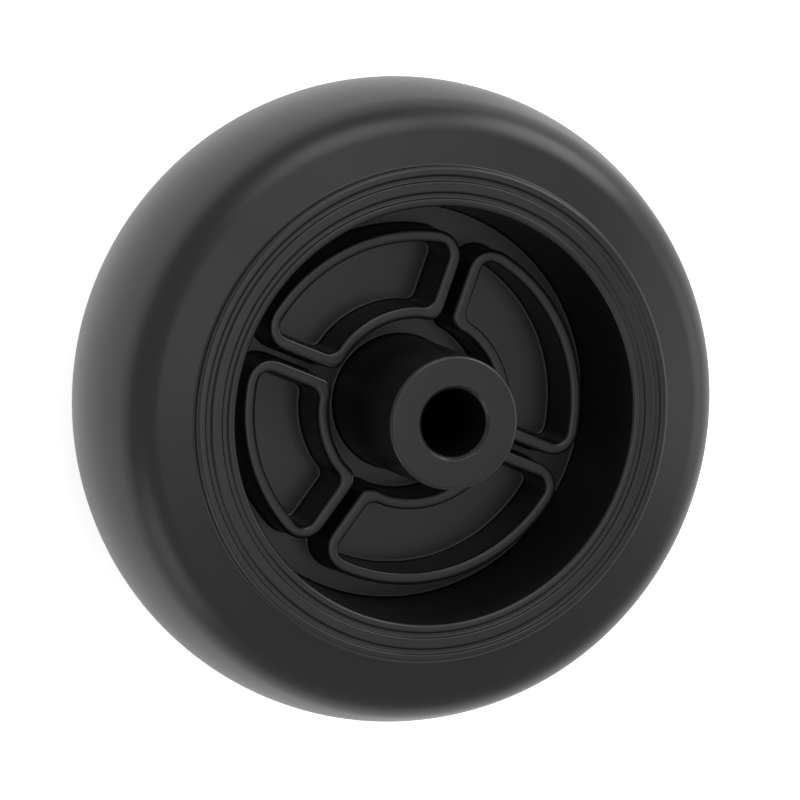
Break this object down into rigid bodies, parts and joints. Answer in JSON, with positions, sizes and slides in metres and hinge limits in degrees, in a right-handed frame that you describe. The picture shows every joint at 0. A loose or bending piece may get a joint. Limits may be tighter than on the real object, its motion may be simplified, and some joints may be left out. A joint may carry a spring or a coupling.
{
  "type": "lawn mower wheel",
  "caption": "Moulded black plastic deck wheel for a lawn mower, with a rounded tread, a ribbed web on both sides and a long plain hub for an axle bolt.",
  "frame": {"origin": "centre of the wheel, on the axle bore's axis, half way along the hub", "axes": "+Z along the axle bore, up as the wheel stands on one end of its hub; +X through the middle of one web pocket"},
  "size_m": [0.127, 0.127, 0.07],
  "materials": {
    "wheel_plastic": "near-black moulded polypropylene, satin, unpainted"
  },
  "bodies": {
    "root": {"wheel": "wheel_plastic"}
  },
  "joints": []
}
